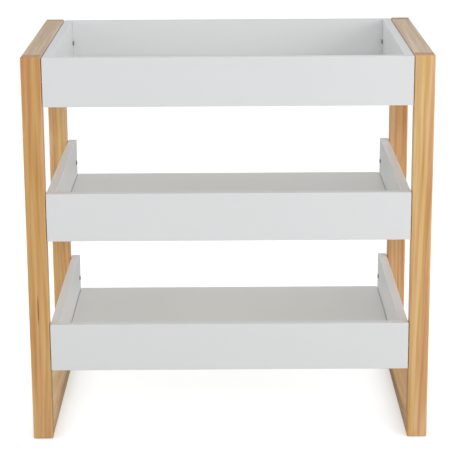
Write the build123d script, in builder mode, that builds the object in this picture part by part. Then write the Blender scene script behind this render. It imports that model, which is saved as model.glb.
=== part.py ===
from build123d import *
import os
from dataclasses import dataclass

# A changing table. Two glued timber end frames, each a closed loop of two posts and two rails, carry
# three trays of painted board. The top tray has walls all round and holds the changing mat. The
# middle and lower trays are shelves, open at the back. Each tray is screwed to the back posts by
# socket bolts in threaded inserts, and drawn up to the front posts by cam fasteners, with washers that
# keep it clear of the frames. The boards of a tray are dowelled together and held by cam fasteners as
# well.
# Millimetres. The origin is the middle of the footprint, at floor level: +X to the right, +Y to the
# back, +Z up.

os.makedirs("parts", exist_ok=True)

# Whole table
overall_width = 888
overall_depth = 572
overall_height = 870

# End frames
timber_width = 44  # along X
timber_thickness = 34  # a post's depth along Y, and a rail's height along Z
timber_edge_radius = 3
frame_dowel_diameter = 10
frame_dowel_in_rail = 34
frame_dowel_web = 2  # timber left between a frame dowel's hole and a tray's dowel

# Trays
board_thickness = 20
board_edge_radius = 1
wall_height = 107
floor_thickness = 15
floor_edge_radius = 0.5
floor_top_height = 20  # the floor's upper face, above the tray's lower edge
lower_tray_height = 163  # the lower tray's lower edge, above the ground
rim_drop = 2  # the top tray's rim, below the top of the frames

# Clearances between pieces
tray_setback = 0.5  # tray inside the frames' front and back faces
frame_gap = 1.6  # tray to the inner faces of the frames, kept by washers
floor_side_gap = 1.2  # floor's edge to side panel, and to the back panel
floor_back_setback = 1  # open shelf's back edge, inside the side panels' ends
round_clearance = 0.05  # radial, dowels, threads and inserts in their holes
cam_clearance = 0.1  # radial, cam in its pocket
end_room = 1  # between the end of a dowel, thread or bolt and the end of its hole

# Dowels between boards
dowel_diameter = 8
dowel_in_face = 12
dowel_in_edge = 18
dowel_chamfer = 1

# Cam fasteners
cam_diameter = 15
cam_past_bolt = 4.5  # how far a cam reaches beyond the axis of its bolt
cam_edge_chamfer = 0.4
short_cam_setback = 24  # joint face to the cam's centre
long_cam_setback = 34
cam_bolt_hole_diameter = 8
cam_bolt_diameter = 6
cam_bolt_thread_length = 11
cam_bolt_collar_diameter = 7.4
cam_bolt_collar_length = 1.2
cam_bolt_neck_diameter = 3.6
cam_bolt_neck_length = 2.5
cam_bolt_head_diameter = 6.4
cam_bolt_head_length = 4
cam_head_clearance = 0.6
cam_drive_diameter = 4.4
cam_drive_depth = 2.4
cam_slot_length = 9
cam_slot_width = 1.4
cam_slot_depth = 1.6
cap_diameter = 17
cap_thickness = 1
cap_edge_radius = 0.6
cap_peg_diameter = 4.2
cap_peg_length = 2

# Socket bolts, their washers and threaded inserts
bolt_diameter = 6
bolt_length = 35  # under the head
bolt_head_diameter = 11
bolt_head_height = 2.2
bolt_head_radius = 1.3  # round its upper edge
bolt_head_clearance = 0.4  # round a head, where the back panel comes close to it
bolt_tip_chamfer = 0.8
bolt_socket_width = 4  # across flats
bolt_socket_depth = 1.8
bolt_hole_diameter = 6.6
washer_diameter = 12
washer_hole_diameter = 8
insert_diameter = 10
insert_length = 13
insert_thread_pitch = 2
insert_thread_depth = 0.7
insert_wall = 2.5  # timber left between an insert and the inner face of its post

# Planes and faces that pieces share
frame_inner_x = overall_width / 2 - timber_width
side_outer_x = frame_inner_x - frame_gap
side_inner_x = side_outer_x - board_thickness
front_y = -overall_depth / 2 + tray_setback
back_y = overall_depth / 2 - tray_setback
walls_front_y = front_y + board_thickness  # back face of a front panel
back_panel_y = back_y - board_thickness  # front face of the back panel
bolt_y = overall_depth / 2 - timber_thickness + insert_wall + insert_diameter / 2
top_tray_height = overall_height - rim_drop - wall_height
middle_tray_height = (lower_tray_height + top_tray_height) / 2
frame_dowel_in_post = (
    timber_thickness - tray_setback - board_thickness / 2 - dowel_diameter / 2 - frame_dowel_web - end_room
)

sides = {"left": -1, "right": 1}
ends = {"front": -1, "back": 1}
trays = {"top": top_tray_height, "middle": middle_tray_height, "lower": lower_tray_height}
down, to_back, to_front = (0, 0, -1), (0, 1, 0), (0, -1, 0)


@dataclass
class Joint:
    """A butt joint between the face of one piece and the edge of another, with its fixings set out
    in sixths of its length. Local X runs along the joint, local Z into the piece whose edge meets
    it, and local Y to the face of that piece on which its cams open."""

    face_piece: str
    edge_piece: str
    centre: tuple
    into: tuple
    opens: tuple
    length: float
    edge_thickness: float
    dowel_sixths: tuple
    cam_sixths: tuple
    cam_setback: float = short_cam_setback
    capped: bool = False

    @property
    def on_post(self):
        return self.face_piece.endswith("_post")

    @property
    def plane(self):
        return Plane(origin=self.centre, x_dir=Vector(*self.opens).cross(Vector(*self.into)), z_dir=self.into)

    def place(self, sixths, y=0, z=0):
        """A point in the joint, given in its own axes."""
        return self.plane.from_local_coords((self.length * (sixths / 6 - 1 / 2), y, z))

    def along(self, sixths):
        """A plane at each fixing, with local Z into the piece whose edge meets the joint."""
        return [Plane(origin=self.place(n), x_dir=self.plane.x_dir, z_dir=self.into) for n in sixths]

    def pockets(self):
        """A plane at the mouth of each cam's pocket, with local X back along the cam's bolt."""
        mouths = [self.place(n, self.edge_thickness / 2, self.cam_setback) for n in self.cam_sixths]
        return [Plane(origin=mouth, x_dir=-self.plane.z_dir, z_dir=self.opens) for mouth in mouths]


def wall_joint(face_piece, edge_piece, centre, into, opens, dowels, cams, **extras):
    """An upright joint, as high as a tray's walls."""
    return Joint(
        face_piece, edge_piece, centre, into, opens, wall_height, board_thickness, dowels, cams, **extras
    )


def floor_joint(face_piece, edge_piece, centre, into, length, dowels):
    """A level joint along one edge of a tray's floor, its cams open on the underside."""
    return Joint(face_piece, edge_piece, centre, into, down, length, floor_thickness, dowels, (2, 4))


def tray_joints(tray):
    """Every dowelled joint of one tray."""
    front, back, floor = f"{tray}_tray_front", f"{tray}_tray_back", f"{tray}_tray_floor"
    wall_z = trays[tray] + wall_height / 2
    floor_z = trays[tray] + floor_top_height - floor_thickness / 2
    floor_depth = floor_back_y(tray) - walls_front_y
    floor_mid_y = walls_front_y + floor_depth / 2
    floor_width = 2 * side_inner_x

    joints = [floor_joint(front, floor, (0, walls_front_y, floor_z), to_back, floor_width, (1, 3, 5))]
    if tray == "top":
        joints.append(floor_joint(back, floor, (0, back_panel_y, floor_z), to_front, floor_width, (1, 3, 5)))
    for side, sign in sides.items():
        wall = f"{tray}_tray_{side}_side"
        inwards = (-sign, 0, 0)
        post_at = (sign * frame_inner_x, front_y + board_thickness / 2, wall_z)
        corner_at = (sign * (side_outer_x - board_thickness / 2), walls_front_y, wall_z)
        back_corner_at = (sign * side_inner_x, back_y - board_thickness / 2, wall_z)
        floor_at = (sign * side_inner_x, floor_mid_y, floor_z)
        joints += [
            wall_joint(
                f"{side}_front_post",
                front,
                post_at,
                inwards,
                to_back,
                (1, 5),
                (3,),
                cam_setback=long_cam_setback,
                capped=True,
            ),
            wall_joint(front, wall, corner_at, to_back, inwards, (2,), (4,), capped=True),
            floor_joint(wall, floor, floor_at, inwards, floor_depth, (1, 5)),
        ]
        if tray == "top":
            joints.append(wall_joint(wall, back, back_corner_at, inwards, to_back, (2,), (4,)))
    return joints


def floor_back_y(tray):
    """The back edge of a tray's floor."""
    return back_panel_y - floor_side_gap if tray == "top" else back_y - floor_back_setback


def bolt_planes(side, trays_held, x):
    """A plane for each tray's bolt on one side, at a distance x from the middle of the table, with
    local Z towards the middle."""
    sign = sides[side]
    heights = [trays[tray] + wall_height / 2 for tray in trays_held]
    return [Plane(origin=(sign * x, bolt_y, height), z_dir=(-sign, 0, 0)) for height in heights]


def frame_dowel_planes(side):
    """A plane at each dowel of one end frame, on the butt face, with local Z into the rail."""
    middle_x = sides[side] * (overall_width - timber_width) / 2
    return [
        Plane(
            origin=(middle_x + across * timber_width / 4, end * (overall_depth / 2 - timber_thickness), z),
            z_dir=(0, -end, 0),
        )
        for end in ends.values()
        for z in (timber_thickness / 2, overall_height - timber_thickness / 2)
        for across in (-1, 1)
    ]


def save(builder, name):
    """Labels a finished piece and writes it to a file of its own."""
    builder.part.label = name
    export_step(builder.part, f"parts/{name}.step")


def drill(piece):
    """Drills the piece being built for every dowel and cam fastener that enters it."""
    dowel_hole_radius = dowel_diameter / 2 + round_clearance
    for joint in all_joints:
        if joint.face_piece == piece:
            with Locations(*joint.along(joint.dowel_sixths)):
                Hole(dowel_hole_radius, dowel_in_face + end_room)
            with Locations(*joint.along(joint.cam_sixths)):
                Hole(cam_bolt_diameter / 2 + round_clearance, cam_bolt_thread_length + end_room)
        if joint.edge_piece == piece:
            with Locations(*joint.along(joint.dowel_sixths)):
                Hole(dowel_hole_radius, dowel_in_edge + end_room)
            with Locations(*joint.along(joint.cam_sixths)):
                Hole(cam_bolt_hole_diameter / 2, joint.cam_setback)
            with Locations(*joint.pockets()):
                Hole(cam_diameter / 2 + cam_clearance, joint.edge_thickness / 2 + cam_past_bolt)


def build_board(name, x, y, z, edge_radius, bolts=(), bolt_heads=()):
    """A board between low and high values of x, y and z, drilled for its fixings and relieved round
    the bolt heads that it would meet."""
    with BuildPart() as board:
        with BuildSketch(Plane.XY.offset(z[0])):
            with Locations(((x[0] + x[1]) / 2, (y[0] + y[1]) / 2)):
                Rectangle(x[1] - x[0], y[1] - y[0])
        extrude(amount=z[1] - z[0])
        fillet(board.edges(), edge_radius)
        drill(name)
        for plane in bolts:
            with Locations(plane):
                Hole(bolt_hole_diameter / 2, board_thickness)
        for plane in bolt_heads:
            with Locations(plane):
                Hole(bolt_head_diameter / 2 + bolt_head_clearance, bolt_head_height + bolt_head_clearance)
    save(board, name)


def build_tray(tray):
    """The boards of one tray."""
    low = trays[tray]
    name = f"{tray}_tray"
    walls_z = (low, low + wall_height)
    front_x = (-side_outer_x, side_outer_x)
    build_board(f"{name}_front", front_x, (front_y, walls_front_y), walls_z, board_edge_radius)
    for side, sign in sides.items():
        build_board(
            f"{name}_{side}_side",
            sorted((sign * side_outer_x, sign * side_inner_x)),
            (walls_front_y, back_y),
            walls_z,
            board_edge_radius,
            bolt_planes(side, [tray], side_inner_x),
        )
    floor_x = side_inner_x - floor_side_gap
    floor_z = low + floor_top_height
    build_board(
        f"{name}_floor",
        (-floor_x, floor_x),
        (walls_front_y, floor_back_y(tray)),
        (floor_z - floor_thickness, floor_z),
        floor_edge_radius,
    )
    if tray == "top":
        build_board(
            f"{name}_back",
            (-side_inner_x, side_inner_x),
            (back_panel_y, back_y),
            walls_z,
            board_edge_radius,
            bolt_heads=[plane for side in sides for plane in bolt_planes(side, [tray], side_inner_x)],
        )


def build_end_frame(side):
    """The two posts and two rails of one end frame, cut from one rounded loop so that they meet flush."""
    sign = sides[side]
    low_x = min(sign * frame_inner_x, sign * overall_width / 2)
    post_face_y = overall_depth / 2 - timber_thickness
    frame_dowel_hole_radius = frame_dowel_diameter / 2 + round_clearance
    with BuildPart() as loop:
        with BuildSketch(Plane.YZ.offset(low_x)):
            with Locations((0, overall_height / 2)):
                Rectangle(overall_depth, overall_height)
                Rectangle(2 * post_face_y, overall_height - 2 * timber_thickness, mode=Mode.SUBTRACT)
        extrude(amount=timber_width)
        inner_corners = loop.edges().filter_by(Axis.X).sort_by(lambda edge: abs(edge.center().Y))[:4]
        fillet([edge for edge in loop.edges() if edge not in inner_corners], timber_edge_radius)

    for end, direction in ends.items():
        name = f"{side}_{end}_post"
        with BuildPart() as post:
            add(loop.part)
            split(bisect_by=Plane(origin=(0, direction * post_face_y, 0), z_dir=(0, direction, 0)))
            with Locations(*frame_dowel_planes(side)):
                Hole(frame_dowel_hole_radius, frame_dowel_in_post + end_room)
            drill(name)
            if end == "back":
                with Locations(*bolt_planes(side, trays, frame_inner_x)):
                    Hole(insert_diameter / 2 + round_clearance, insert_hole_depth)
        save(post, name)

    for level, up in (("bottom", -1), ("top", 1)):
        with BuildPart() as rail:
            add(loop.part)
            for direction in ends.values():
                split(bisect_by=Plane(origin=(0, direction * post_face_y, 0), z_dir=(0, -direction, 0)))
            split(bisect_by=Plane(origin=(0, 0, overall_height / 2), z_dir=(0, 0, up)))
            with Locations(*frame_dowel_planes(side)):
                Hole(frame_dowel_hole_radius, frame_dowel_in_rail + end_room)
        save(rail, f"{side}_{level}_rail")


def build_dowels(name, planes, diameter, below, above):
    """Chamfered dowels, each reaching below and above the plane of its joint."""
    with BuildPart() as dowels:
        with BuildSketch(*[plane.offset(-below) for plane in planes]):
            Circle(diameter / 2)
        extrude(amount=below + above)
        chamfer(dowels.edges().filter_by(GeomType.CIRCLE), dowel_chamfer)
    save(dowels, name)


def build_cam_bolt(setback):
    """A cam bolt on local Z: thread below the joint face, then collar, shank, neck and head."""
    head_low = setback - cam_bolt_head_length / 2
    neck_low = head_low - cam_bolt_neck_length
    with BuildPart() as cam_bolt:
        with BuildSketch(Plane.XZ):
            with Locations((0, -cam_bolt_thread_length)):
                Rectangle(cam_bolt_diameter / 2, cam_bolt_thread_length + neck_low, align=Align.MIN)
            Rectangle(cam_bolt_collar_diameter / 2, cam_bolt_collar_length, align=Align.MIN)
            with Locations((0, neck_low)):
                Rectangle(cam_bolt_neck_diameter / 2, cam_bolt_neck_length, align=Align.MIN)
            with Locations((0, head_low)):
                Rectangle(cam_bolt_head_diameter / 2, cam_bolt_head_length, align=Align.MIN)
        revolve(axis=Axis.Z)
        ends_of_bolt = cam_bolt.edges().filter_by(GeomType.CIRCLE).sort_by(Axis.Z)
        chamfer([ends_of_bolt[0], ends_of_bolt[-1]], cam_bolt_head_length / 5)
    return cam_bolt.part


def build_cam(board):
    """A cam, its top face on local XY, with the slot that takes its bolt's head along local X."""
    slot_size = cam_bolt_head_diameter + 2 * cam_head_clearance
    slot_far_end = -cam_bolt_head_length / 2 - cam_head_clearance
    with BuildPart() as cam:
        with BuildSketch():
            Circle(cam_diameter / 2)
        extrude(amount=-(board / 2 + cam_past_bolt))
        chamfer(cam.edges().sort_by(Axis.Z)[-1], cam_edge_chamfer)
        with Locations((slot_far_end, 0, -board / 2)):
            Box(
                cam_diameter,
                slot_size,
                slot_size,
                align=(Align.MIN, Align.CENTER, Align.CENTER),
                mode=Mode.SUBTRACT,
            )
        Hole(cam_drive_diameter / 2, cam_drive_depth)
        with BuildSketch():
            SlotOverall(cam_slot_length, cam_slot_width)
            SlotOverall(cam_slot_length, cam_slot_width, rotation=90)
        extrude(amount=-cam_slot_depth, mode=Mode.SUBTRACT)
    return cam.part


def build_cap():
    """A push-in cover cap, its disc on local XY and its peg in the cam's drive."""
    with BuildPart() as cap:
        with BuildSketch():
            Circle(cap_diameter / 2)
        extrude(amount=cap_thickness)
        fillet(cap.edges().sort_by(Axis.Z)[-1], cap_edge_radius)
        with BuildSketch():
            Circle(cap_peg_diameter / 2)
        extrude(amount=-cap_peg_length)
    return cap.part


def build_bolt():
    """A socket bolt, its low round head on local XY and its thread below."""
    with BuildPart() as bolt:
        with BuildSketch():
            Circle(bolt_head_diameter / 2)
        extrude(amount=bolt_head_height)
        fillet(bolt.edges().sort_by(Axis.Z)[-1], bolt_head_radius)
        with BuildSketch():
            Circle(bolt_diameter / 2)
        extrude(amount=-bolt_length)
        chamfer(bolt.edges().sort_by(Axis.Z)[0], bolt_tip_chamfer)
        with BuildSketch(Plane.XY.offset(bolt_head_height)):
            RegularPolygon(bolt_socket_width / 2, 6, major_radius=False)
        extrude(amount=-bolt_socket_depth, mode=Mode.SUBTRACT)
    return bolt.part


def build_washer():
    """A washer as thick as the gap that it keeps, above local XY."""
    with BuildPart() as washer:
        with BuildSketch():
            Circle(washer_diameter / 2)
            Circle(washer_hole_diameter / 2, mode=Mode.SUBTRACT)
        extrude(amount=frame_gap)
    return washer.part


def build_insert():
    """A threaded insert below local XY, with ridges round the outside that grip the timber."""
    outer = insert_diameter / 2
    inner = bolt_diameter / 2 + round_clearance
    turns = int(insert_length / insert_thread_pitch)
    ridges = [
        (outer - depth, -insert_thread_pitch * (turn + share))
        for turn in range(turns)
        for share, depth in ((0.25, 0), (0.75, insert_thread_depth))
    ]
    with BuildPart() as insert:
        with BuildSketch(Plane.XZ):
            with BuildLine():
                Polyline(
                    (inner, 0),
                    (outer - insert_thread_depth, 0),
                    *ridges,
                    (outer - insert_thread_depth, -insert_length),
                    (inner, -insert_length),
                    close=True,
                )
            make_face()
        revolve(axis=Axis.Z)
    return insert.part


def build_group(name, pieces):
    """One node from several copies of small pieces, given as pairs of a shape and its planes."""
    with BuildPart() as group:
        for shape, planes in pieces:
            with Locations(*planes):
                add(shape)
    save(group, name)


bolt_reach = bolt_length - board_thickness - frame_gap  # into the post
insert_hole_depth = max(bolt_reach, insert_length) + end_room
all_joints = [joint for tray in trays for joint in tray_joints(tray)]

bolt = build_bolt()
washer = build_washer()
insert = build_insert()
cap = build_cap()
cams = {thickness: build_cam(thickness) for thickness in (floor_thickness, board_thickness)}
cam_bolts = {setback: build_cam_bolt(setback) for setback in (short_cam_setback, long_cam_setback)}

for side in sides:
    build_end_frame(side)
    build_dowels(
        f"{side}_frame_dowels",
        frame_dowel_planes(side),
        frame_dowel_diameter,
        frame_dowel_in_post,
        frame_dowel_in_rail,
    )
    build_group(f"{side}_frame_inserts", [(insert, bolt_planes(side, trays, frame_inner_x))])

for tray in trays:
    joints = tray_joints(tray)
    build_tray(tray)
    build_dowels(
        f"{tray}_tray_dowels",
        [plane for joint in joints for plane in joint.along(joint.dowel_sixths)],
        dowel_diameter,
        dowel_in_face,
        dowel_in_edge,
    )
    build_group(
        f"{tray}_tray_cam_bolts",
        [(cam_bolts[joint.cam_setback], joint.along(joint.cam_sixths)) for joint in joints],
    )
    build_group(f"{tray}_tray_cams", [(cams[joint.edge_thickness], joint.pockets()) for joint in joints])
    build_group(f"{tray}_tray_cam_caps", [(cap, joint.pockets()) for joint in joints if joint.capped])
    build_group(f"{tray}_tray_bolts", [(bolt, bolt_planes(side, [tray], side_inner_x)) for side in sides])
    back_washers = [(washer, bolt_planes(side, [tray], frame_inner_x)) for side in sides]
    front_washers = [(washer, joint.along(joint.cam_sixths)) for joint in joints if joint.on_post]
    build_group(f"{tray}_tray_washers", back_washers + front_washers)
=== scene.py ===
import math

import bpy
from mathutils import Euler, Matrix, Vector


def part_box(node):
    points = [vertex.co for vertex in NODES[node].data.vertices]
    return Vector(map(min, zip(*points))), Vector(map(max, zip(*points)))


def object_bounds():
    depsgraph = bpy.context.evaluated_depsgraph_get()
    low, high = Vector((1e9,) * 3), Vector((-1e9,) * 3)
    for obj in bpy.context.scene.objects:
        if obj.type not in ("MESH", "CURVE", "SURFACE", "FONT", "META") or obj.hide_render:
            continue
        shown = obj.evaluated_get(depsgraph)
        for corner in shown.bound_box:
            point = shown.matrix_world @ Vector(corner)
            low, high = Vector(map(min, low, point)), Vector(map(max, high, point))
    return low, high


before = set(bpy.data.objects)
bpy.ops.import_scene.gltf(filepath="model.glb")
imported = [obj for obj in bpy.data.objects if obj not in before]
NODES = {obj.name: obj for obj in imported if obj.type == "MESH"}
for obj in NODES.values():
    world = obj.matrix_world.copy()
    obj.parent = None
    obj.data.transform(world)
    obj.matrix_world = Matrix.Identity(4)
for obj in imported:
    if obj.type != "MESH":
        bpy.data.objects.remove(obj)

# A changing table of pine and white painted board, on the floor of a bright studio.
# Everything is in metres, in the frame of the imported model: +X right, +Y back, +Z up.

cad_low, cad_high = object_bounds()
MIDDLE = (cad_low + cad_high) / 2
FRONT = cad_low.y
TRAYS = ("top", "middle", "lower")

# Camera
CAMERA_DISTANCE = 3.650  # in front of the table's front face
CAMERA_HEIGHT = 1.4674
CAMERA_X = -0.0005
CAMERA_YAW = -0.02  # degrees
CAMERA_PITCH = 14.977  # degrees below the horizon
CAMERA_ROLL = -0.34  # degrees
SENSOR_WIDTH = 36  # mm
LENS = 136.34  # mm

# Timber
POST_EDGE_RADIUS = 0.003
YEAR_WIDTH = 0.0055  # between growth rings
POCKET_WIDTH, POCKET_LENGTH = 0.0036, 0.075  # of a resin pocket

# Studio
FLOOR_SIZE = 60
CONTACT_SHADOW_REACH = 0.07
SHADOW_GLOW, OPEN_GLOW = 0.50, 0.74  # of the floor in its painted contact shadows, and clear of them
BACK_LIGHT, TOP_LIGHT = 0.756, 0.617  # strength of the walls low down behind the table, and overhead


def linear(red, green, blue):
    """A colour in Blender's linear values, from its usual 0 to 255 ones."""
    return tuple(((v / 255 + 0.055) / 1.055) ** 2.4 for v in (red, green, blue)) + (1,)


class Nodes:
    """A node tree being made: most methods add one node, link its inputs and return its output."""

    def __init__(self, tree):
        self.tree = tree

    def node(self, kind, inputs, **settings):
        node = self.tree.nodes.new(kind)
        for name, value in settings.items():
            setattr(node, name, value)
        for name, value in inputs.items():
            self.give(node.inputs[name], value)
        return node

    def give(self, socket, value):
        if isinstance(value, bpy.types.NodeSocket):
            self.tree.links.new(value, socket)
        else:
            socket.default_value = value

    def stretch(self, vector, scale):
        return self.node("ShaderNodeMapping", {"Vector": vector, "Scale": scale}).outputs["Vector"]

    def noise(self, vector, scale=1, detail=2, roughness=0.5, output="Fac"):
        inputs = {
            "Vector": vector,
            "Scale": scale,
            "Detail": detail,
            "Roughness": roughness,
        }
        return self.node("ShaderNodeTexNoise", inputs).outputs[output]

    def maths(self, operation, *values):
        node = self.node("ShaderNodeMath", {}, operation=operation)
        for socket, value in zip(node.inputs, values):
            self.give(socket, value)
        return node.outputs["Value"]

    def vector_maths(self, operation, *values, output="Vector"):
        node = self.node("ShaderNodeVectorMath", {}, operation=operation)
        for socket, value in zip(node.inputs, values):
            self.give(socket, value)
        return node.outputs[output]

    def axes(self, vector):
        return self.node("ShaderNodeSeparateXYZ", {"Vector": vector}).outputs

    def vector(self, x, y, z):
        return self.node("ShaderNodeCombineXYZ", {"X": x, "Y": y, "Z": z}).outputs["Vector"]

    def remap(self, value, low, high, to_low=0.0, to_high=1.0, smooth=True):
        inputs = {
            "Value": value,
            "From Min": low,
            "From Max": high,
            "To Min": to_low,
            "To Max": to_high,
        }
        kind = "SMOOTHSTEP" if smooth else "LINEAR"
        return self.node("ShaderNodeMapRange", inputs, interpolation_type=kind).outputs["Result"]

    def ramp(self, value, stops):
        """A colour ramp through pairs of a place and a colour or a grey level."""
        node = self.node("ShaderNodeValToRGB", {"Fac": value})
        elements = node.color_ramp.elements
        while len(elements) < len(stops):
            elements.new(1)
        for element, (place, colour) in zip(elements, stops):
            element.position = place
            element.color = colour if isinstance(colour, tuple) else (colour, colour, colour, 1)
        return node.outputs["Color"]

    def mix(self, share, first, second, blend="MIX"):
        node = self.node("ShaderNodeMix", {}, data_type="RGBA", blend_type=blend)
        colour_inputs = [s for s in node.inputs if s.type == "RGBA"]
        self.give(node.inputs["Factor"], share)
        self.give(colour_inputs[0], first)
        self.give(colour_inputs[1], second)
        return [s for s in node.outputs if s.type == "RGBA"][0]

    def bump(self, height, distance, normal=None):
        """A bump whose full height is the distance, in metres."""
        inputs = {"Height": height, "Distance": distance, "Strength": 1}
        if normal is not None:
            inputs["Normal"] = normal
        return self.node("ShaderNodeBump", inputs).outputs["Normal"]


class Shader(Nodes):
    """A material being made, and its surface."""

    def __init__(self, name):
        self.material = bpy.data.materials.new(name)
        self.material.use_nodes = True
        super().__init__(self.material.node_tree)
        self.surface = self.tree.nodes["Principled BSDF"]

    def set(self, **inputs):
        """Gives the surface's inputs, named with _ for a space."""
        for name, value in inputs.items():
            self.give(self.surface.inputs[name.replace("_", " ")], value)

    def place(self, rotation=(0, 0, 0), location=(0, 0, 0)):
        """Coordinates in metres, turned and then moved."""
        coordinates = self.node("ShaderNodeTexCoord", {}).outputs["Object"]
        inputs = {"Vector": coordinates, "Location": location, "Rotation": rotation}
        return self.node("ShaderNodeMapping", inputs).outputs["Vector"]


def finish_node(node_name, material):
    """Gives a CAD node its one material."""
    slots = NODES[node_name].material_slots
    if not slots:
        NODES[node_name].data.materials.append(material)
    for slot in slots:
        slot.material = material


# ---------------------------------------------------------------------------------------------
# Timber
# ---------------------------------------------------------------------------------------------

# Pale, middling and deep wood, where it is yellow and where it is pink
YELLOW_WOOD = [(0.0, linear(240, 205, 146)), (0.45, linear(228, 182, 112)), (1.0, linear(206, 146, 74))]
PINK_WOOD = [(0.0, linear(239, 199, 149)), (0.45, linear(225, 170, 115)), (1.0, linear(198, 131, 80))]
# How dark the wood grows through one year
SEASONS = [(0, 0.10), (0.35, 0.0), (0.62, 0.25), (0.84, 1.0), (0.93, 0.85), (1.0, 0.10)]
# What the wood's colour is multiplied by
END_GRAIN_TINT = linear(222, 196, 165)
POCKET_TINT = linear(190, 148, 114)
# Painted highlight: lightens the rounded long edges of each member
EDGE_HIGHLIGHT_TINT = (1.10, 1.09, 1.07, 1)


def drift(shader, place, frequency, detail, reach):
    """A sideways drift of the grain, by up to half the reach, in metres."""
    drifting = shader.noise(shader.stretch(place, frequency), detail=detail, output="Color")
    drifting = shader.vector_maths("SUBTRACT", drifting, (0.5, 0.5, 0.5))
    return shader.vector_maths("MULTIPLY", drifting, (reach, reach, 0))


def growth_rings(shader, place, pith, seed):
    """How much late wood there is, in uneven rings round the pith."""
    radial = shader.vector_maths("SUBTRACT", place, (*pith, 0))
    radial = shader.vector_maths("MULTIPLY", radial, (1, 1, 0))
    radius = shader.vector_maths("LENGTH", radial, output="Value")
    uneven = shader.noise(shader.vector(radius, seed, 0), scale=60, detail=1)
    years = shader.maths("MULTIPLY_ADD", radius, 1 / YEAR_WIDTH, shader.maths("MULTIPLY", uneven, 2.4))
    late = shader.ramp(shader.maths("FRACT", years), SEASONS)
    year = {"W": shader.maths("FLOOR", years)}
    vigour = shader.node("ShaderNodeTexWhiteNoise", year, noise_dimensions="1D").outputs["Value"]
    return shader.maths("MULTIPLY", late, shader.remap(vigour, 0, 1, 0.35, 0.9, smooth=False))


def wood_colour(shader, own, flow, late, fibre, pinkness):
    """Yellow and pink wood in soft streaks as wide as a few rings, with late wood, fibres and resin."""
    streak = shader.noise(shader.stretch(flow, (125, 125, 3.6)), detail=2, roughness=0.55)
    broad = shader.noise(shader.stretch(flow, (44, 44, 2.2)), detail=1)
    blush = shader.noise(shader.stretch(flow, (80, 80, 2.0)), detail=1)
    resin = shader.noise(shader.stretch(own, (420, 420, 34)), detail=1)
    depth = shader.maths("MULTIPLY", late, 0.26)
    depth = shader.maths("MULTIPLY_ADD", shader.remap(streak, 0.36, 0.68), 0.46, depth)
    depth = shader.maths("MULTIPLY_ADD", shader.remap(broad, 0.35, 0.65), 0.34, depth)
    depth = shader.maths("MULTIPLY_ADD", shader.maths("SUBTRACT", fibre, 0.5), 0.26, depth)
    depth = shader.maths("MULTIPLY_ADD", shader.remap(resin, 0.66, 0.78), 0.12, depth)
    yellow = shader.ramp(depth, YELLOW_WOOD)
    pink = shader.ramp(depth, PINK_WOOD)
    return shader.mix(shader.remap(blush, 0.72 - pinkness, 0.92 - pinkness), yellow, pink)


def resin_pocket(shader, place, pocket):
    """Where a resin pocket is, given its place across and along the member from its middle."""
    spot = shader.vector_maths("SUBTRACT", place, (pocket[0], 0, pocket[1]))
    spot = shader.vector_maths("MULTIPLY", spot, (2 / POCKET_WIDTH, 0, 2 / POCKET_LENGTH))
    return shader.remap(shader.vector_maths("LENGTH", spot, output="Value"), 1.2, 0.5)


def long_edges(shader, wood, half_x, half_y):
    """Where the member's four long edges are."""
    near = []
    for axis, half in (("X", half_x), ("Y", half_y)):
        across = shader.maths("ABSOLUTE", shader.axes(wood)[axis])
        near.append(shader.remap(across, half - POST_EDGE_RADIUS, half - 0.0004))
    return shader.maths("MULTIPLY", *near)


def tinted(shader, share, colour, tint):
    """The colour multiplied by a tint, for a share of the way."""
    return shader.mix(share, colour, shader.mix(1, colour, tint, blend="MULTIPLY"))


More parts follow.
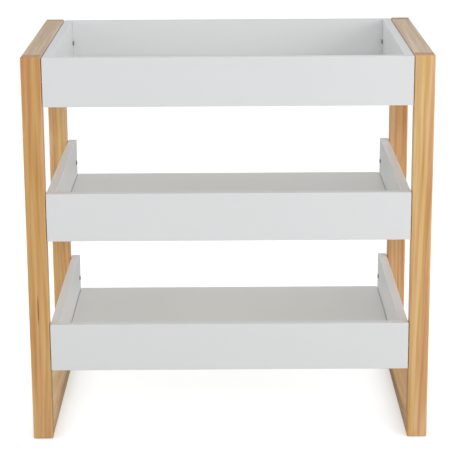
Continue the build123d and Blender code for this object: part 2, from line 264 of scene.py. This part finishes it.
def pine(node_name, along, pith, lean, pinkness, tone_and_painted_light, seed, pocket=None):
    """Lacquered pine for one post or rail: growth rings round a pith beside the member, cut by its faces,
    with soft streaks, darker end grain and a painted highlight that lightens the long edges. The grain
    leans by so much for each metre of its length. A pocket is the place of a resin pocket."""
    low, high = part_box(node_name)
    size = high - low
    shader = Shader(f"pine_{node_name}")
    # In wood coordinates Z runs along the member, and the middle of the member is 0.
    turn = Euler((math.radians(90), 0, 0)) if along == "Y" else Euler((0, 0, 0))
    centre = turn.to_matrix() @ ((low + high) / 2)
    wood = shader.place(rotation=tuple(turn), location=tuple(-centre))
    sideways = shader.maths("MULTIPLY", shader.axes(wood)["Z"], lean)
    leaning = shader.vector_maths("ADD", wood, shader.vector(sideways, 0, 0))
    own = shader.vector_maths("ADD", leaning, (seed * 3.71, seed * 1.93, seed * 5.17))
    wander = drift(shader, own, frequency=(2, 2, 1.1), detail=1, reach=0.030)
    ripple = drift(shader, own, frequency=(26, 26, 3), detail=2, reach=0.0024)
    bent = shader.vector_maths("ADD", shader.vector_maths("ADD", leaning, wander), ripple)
    flow = shader.vector_maths("ADD", own, shader.vector_maths("MULTIPLY", wander, (0.4, 0.4, 0)))
    flow = shader.vector_maths("ADD", flow, ripple)

    late = growth_rings(shader, bent, pith, seed)
    fibre = shader.noise(shader.stretch(own, (900, 900, 14)), detail=2, roughness=0.7)
    colour = wood_colour(shader, own, flow, late, fibre, pinkness)
    if pocket is not None:
        rippled = shader.vector_maths("ADD", wood, ripple)
        colour = tinted(shader, resin_pocket(shader, rippled, pocket), colour, POCKET_TINT)
    normal = shader.node("ShaderNodeNewGeometry", {}).outputs["Normal"]
    facing = shader.maths("ABSOLUTE", shader.axes(normal)[along])
    end_grain = shader.remap(facing, 0.75, 0.97)
    colour = tinted(shader, end_grain, colour, END_GRAIN_TINT)
    # The tone multiplies in the member's own colour, and for some members also painted sheen and light
    colour = shader.mix(1, colour, tone_and_painted_light, blend="MULTIPLY")
    half_y = (size.z if along == "Y" else size.y) / 2
    # Painted highlight along the four long edges
    colour = tinted(shader, long_edges(shader, wood, size.x / 2, half_y), colour, EDGE_HIGHLIGHT_TINT)

    rough = shader.maths("MULTIPLY_ADD", late, -0.06, 0.47)
    rough = shader.maths("MULTIPLY_ADD", shader.maths("SUBTRACT", fibre, 0.5), 0.16, rough)
    rough = shader.maths("MULTIPLY_ADD", end_grain, 0.12, rough)
    bumps = shader.bump(shader.maths("MULTIPLY_ADD", late, 0.5, fibre), 0.00006)
    bumps = shader.bump(shader.noise(own, scale=70, detail=1), 0.00012, bumps)
    shader.set(Base_Color=colour, Roughness=rough, Normal=bumps)
    shader.set(IOR=1.5, Coat_Weight=0.6, Coat_Roughness=0.3)
    return shader.material


def timber():
    """Each member of the end frames, with its own figure, and a tone that is partly its own colour and partly
    painted light.
    """
    # The axis it runs along, pith, lean, pinkness, tone (partly painted sheen and light), seed and any resin
    # pocket
    members = {
        "left_front_post": ("Z", (-0.045, 0.062), -0.008, 0.25, (0.925, 0.86, 0.79, 1), 19, (-0.002, -0.130)),
        "left_back_post": ("Z", (0.052, 0.048), 0.006, 0.30, (1.11, 1.13, 1.18, 1), 12),
        # The top rails and the left bottom rail have paler, bluer tones: a painted sheen of the white studio
        # on their upper faces. The left back post's lighter tone is partly painted light.
        "left_top_rail": ("Y", (0.030, 0.075), 0.010, 0.34, (0.88, 0.99, 1.20, 1), 3),
        "left_bottom_rail": ("Y", (-0.050, -0.060), -0.012, 0.34, (1.09, 1.23, 1.36, 1), 4),
        "right_front_post": ("Z", (0.048, 0.070), -0.026, 0.28, (1.00, 1.01, 1.00, 1), 5),
        "right_back_post": ("Z", (-0.060, 0.050), 0.009, 0.36, (0.90, 0.85, 0.82, 1), 6),
        "right_top_rail": ("Y", (-0.025, 0.080), -0.010, 0.34, (0.91, 1.04, 1.28, 1), 7),
        "right_bottom_rail": ("Y", (0.055, -0.060), 0.014, 0.26, (0.94, 0.90, 0.84, 1), 8),
    }
    for node_name, figure in members.items():
        finish_node(node_name, pine(node_name, *figure))


# ---------------------------------------------------------------------------------------------
# Painted board
# ---------------------------------------------------------------------------------------------

def painted_board(name, tint, seed):
    """Sprayed satin paint on fibreboard: a fine orange peel and a slow unevenness."""
    shader = Shader(name)
    place = shader.place(location=(seed * 2.3, seed * 4.1, seed * 1.7))
    cloud = shader.noise(place, scale=9, detail=2)
    speck = shader.noise(place, scale=700, detail=1)
    colour = shader.ramp(cloud, [(0.3, tint), (0.7, tuple(v * 0.995 for v in tint[:3]) + (1,))])
    peel = shader.noise(place, scale=900, detail=2)
    wave = shader.noise(place, scale=45, detail=2)
    rough = shader.maths("MULTIPLY_ADD", shader.maths("SUBTRACT", cloud, 0.5), 0.12, 0.40)
    rough = shader.maths("MULTIPLY_ADD", shader.maths("SUBTRACT", speck, 0.5), 0.10, rough)
    bumps = shader.bump(peel, 0.000018)
    bumps = shader.bump(wave, 0.00006, bumps)
    shader.set(Base_Color=colour, Roughness=rough, Normal=bumps, IOR=1.5)
    shader.set(Coat_Weight=0.5, Coat_Roughness=0.3)
    return shader.material


def boards():
    wall_tint = linear(241, 242, 243)
    # The tray floors' greyer, warmer tint is painted shade and warm bounce on their upturned faces
    shaded_floor_tint = linear(236, 235, 230)
    for seed, tray in enumerate(TRAYS):
        walls = painted_board(f"paint_{tray}_walls", wall_tint, seed + 1)
        floors = painted_board(f"paint_{tray}_floor", shaded_floor_tint, seed + 5)
        for node_name in NODES:
            if node_name.startswith(f"{tray}_tray_"):
                if node_name.endswith(("_front", "_back", "_side")):
                    finish_node(node_name, walls)
                elif node_name.endswith("_floor"):
                    finish_node(node_name, floors)


# ---------------------------------------------------------------------------------------------
# Fittings
# ---------------------------------------------------------------------------------------------

def metal(name, colour, dark, roughness, grain, seed):
    """Plated steel or cast zinc: a mottled plating with a fine grain."""
    shader = Shader(name)
    place = shader.place(location=(seed * 1.3, seed * 2.9, seed * 3.7))
    mottle = shader.noise(place, scale=240, detail=3)
    fine = shader.noise(place, scale=grain, detail=2)
    tint = shader.ramp(mottle, [(0.3, colour), (0.75, dark)])
    rough = shader.maths("MULTIPLY_ADD", shader.maths("SUBTRACT", mottle, 0.5), 0.3, roughness)
    shader.set(Base_Color=tint, Roughness=rough, Normal=shader.bump(fine, 0.00002), Metallic=1.0)
    return shader.material


def beech(name):
    """Plain turned beech, with short pale flecks."""
    shader = Shader(name)
    place = shader.place()
    cloud = shader.noise(place, scale=120, detail=2)
    fleck = shader.noise(place, scale=1500, detail=1)
    depth = shader.maths("MULTIPLY_ADD", shader.remap(fleck, 0.6, 0.75), 0.4, cloud)
    colour = shader.ramp(depth, [(0.3, linear(226, 190, 146)), (0.9, linear(190, 144, 100))])
    shader.set(Base_Color=colour, Roughness=shader.remap(fleck, 0, 1, 0.5, 0.75))
    shader.set(Normal=shader.bump(fleck, 0.00005))
    return shader.material


def moulded(name):
    """White moulded plastic with a faint spark-eroded grain."""
    shader = Shader(name)
    place = shader.place()
    grain = shader.noise(place, scale=1600, detail=2)
    cloud = shader.noise(place, scale=60, detail=1)
    colour = shader.ramp(cloud, [(0.3, linear(240, 240, 238)), (0.7, linear(236, 236, 233))])
    shader.set(Base_Color=colour, Roughness=shader.remap(grain, 0.2, 0.8, 0.34, 0.5))
    shader.set(Normal=shader.bump(grain, 0.00002), IOR=1.5)
    return shader.material


def fittings():
    # Metals: colour, darker mottling, roughness, fineness of the grain and seed
    bronze = metal("bronze_bolt", linear(150, 141, 126), linear(112, 104, 92), 0.42, 2600, 1)
    zinc = metal("zinc_bolt", linear(205, 204, 200), linear(178, 177, 172), 0.30, 3000, 2)
    cast = metal("cast_cam", linear(178, 178, 176), linear(146, 146, 144), 0.46, 1300, 3)
    yellow = metal("yellow_insert", linear(210, 196, 158), linear(182, 166, 120), 0.34, 2600, 4)
    washer = metal("zinc_washer", linear(198, 198, 196), linear(168, 168, 165), 0.40, 2200, 5)
    wood = beech("beech_dowel")
    plastic = moulded("moulded_cap")
    endings = {
        "_tray_bolts": bronze,
        "_cam_bolts": zinc,
        "_cams": cast,
        "_inserts": yellow,
        "_washers": washer,
        "_dowels": wood,
        "_cam_caps": plastic,
    }
    for node_name in NODES:
        for ending, material in endings.items():
            if node_name.endswith(ending):
                finish_node(node_name, material)


# ---------------------------------------------------------------------------------------------
# Studio
# ---------------------------------------------------------------------------------------------

def floor():
    """A pale floor that glows for camera rays only, so that it looks white while the light that it throws on
    the table is a pale floor's. The glow fades where the table stands close over the floor: those are the
    painted soft shadows inside the bottom rails, not cast by the lamps."""
    bpy.ops.mesh.primitive_plane_add(size=FLOOR_SIZE, location=(0, 0, cad_low.z))
    ground = bpy.context.object
    ground.name = "studio_floor"
    shader = Shader("studio_floor")
    seen = shader.node("ShaderNodeLightPath", {}).outputs["Is Camera Ray"]
    near_table = {"Distance": CONTACT_SHADOW_REACH}
    # Painted contact shadow: ambient occlusion near the table dims the floor's glow
    openness = shader.node("ShaderNodeAmbientOcclusion", near_table, samples=8).outputs["AO"]
    glow = shader.remap(openness, 0.5, 1.0, SHADOW_GLOW, OPEN_GLOW, smooth=False)
    glow = shader.maths("MULTIPLY", seen, glow)
    shader.set(Base_Color=(0.60, 0.59, 0.58, 1), Roughness=0.9, Specular_IOR_Level=0.1)
    shader.set(Emission_Color=(0.98, 0.995, 1.0, 1), Emission_Strength=glow)
    ground.data.materials.append(shader.material)


def area_light(name, location, width, height, power):
    """A soft box aimed at the table's middle, with its size in metres and its power in watts."""
    data = bpy.data.lights.new(name, "AREA")
    data.shape = "RECTANGLE"
    data.size, data.size_y = width, height
    data.energy = power
    light = bpy.data.objects.new(name, data)
    light.location = location
    light.rotation_euler = (MIDDLE - Vector(location)).to_track_quat("-Z", "Y").to_euler()
    bpy.context.scene.collection.objects.link(light)


def lights():
    """White studio walls, brightest low down behind the table and dark low down in front, soft boxes in
    front, the strongest on the right, and one on each side, nearly as high as the table."""
    world = bpy.data.worlds.new("studio")
    world.use_nodes = True
    sky = Nodes(world.node_tree)
    direction = sky.node("ShaderNodeTexCoord", {}).outputs["Generated"]
    axes = sky.axes(direction)
    low_light = sky.remap(axes["Y"], -0.4, 0.5, 0.0, BACK_LIGHT, smooth=False)
    strength = sky.remap(axes["Z"], 0.0, 0.7, low_light, TOP_LIGHT, smooth=False)
    background = world.node_tree.nodes["Background"]
    sky.give(background.inputs["Color"], (0.98, 0.99, 1.0, 1))
    sky.give(background.inputs["Strength"], strength)
    bpy.context.scene.world = world
    area_light("key", (2.8, -3.4, 1.6), 2.0, 1.8, 57)
    area_light("front", (0.4, -4.6, 2.6), 2.0, 1.6, 20)
    area_light("fill", (-2.6, -3.4, 1.5), 2.4, 1.8, 23)
    area_light("side_left", (-3.0, 0.1, 0.8), 1.8, 1.2, 22)
    area_light("side_right", (3.0, 0.1, 0.8), 1.8, 1.2, 22)


def camera():
    data = bpy.data.cameras.new("camera")
    data.sensor_width = SENSOR_WIDTH
    data.lens = LENS
    viewer = bpy.data.objects.new("camera", data)
    yaw = Matrix.Rotation(math.radians(-CAMERA_YAW), 4, "Z")
    pitch = Matrix.Rotation(math.radians(90 - CAMERA_PITCH), 4, "X")
    roll = Matrix.Rotation(math.radians(CAMERA_ROLL), 4, "Z")
    place = Matrix.Translation((CAMERA_X, FRONT - CAMERA_DISTANCE, CAMERA_HEIGHT))
    viewer.matrix_world = place @ yaw @ pitch @ roll
    bpy.context.scene.collection.objects.link(viewer)
    bpy.context.scene.camera = viewer


timber()
boards()
fittings()
floor()
lights()
camera()
bpy.context.scene.view_settings.view_transform = "Standard"
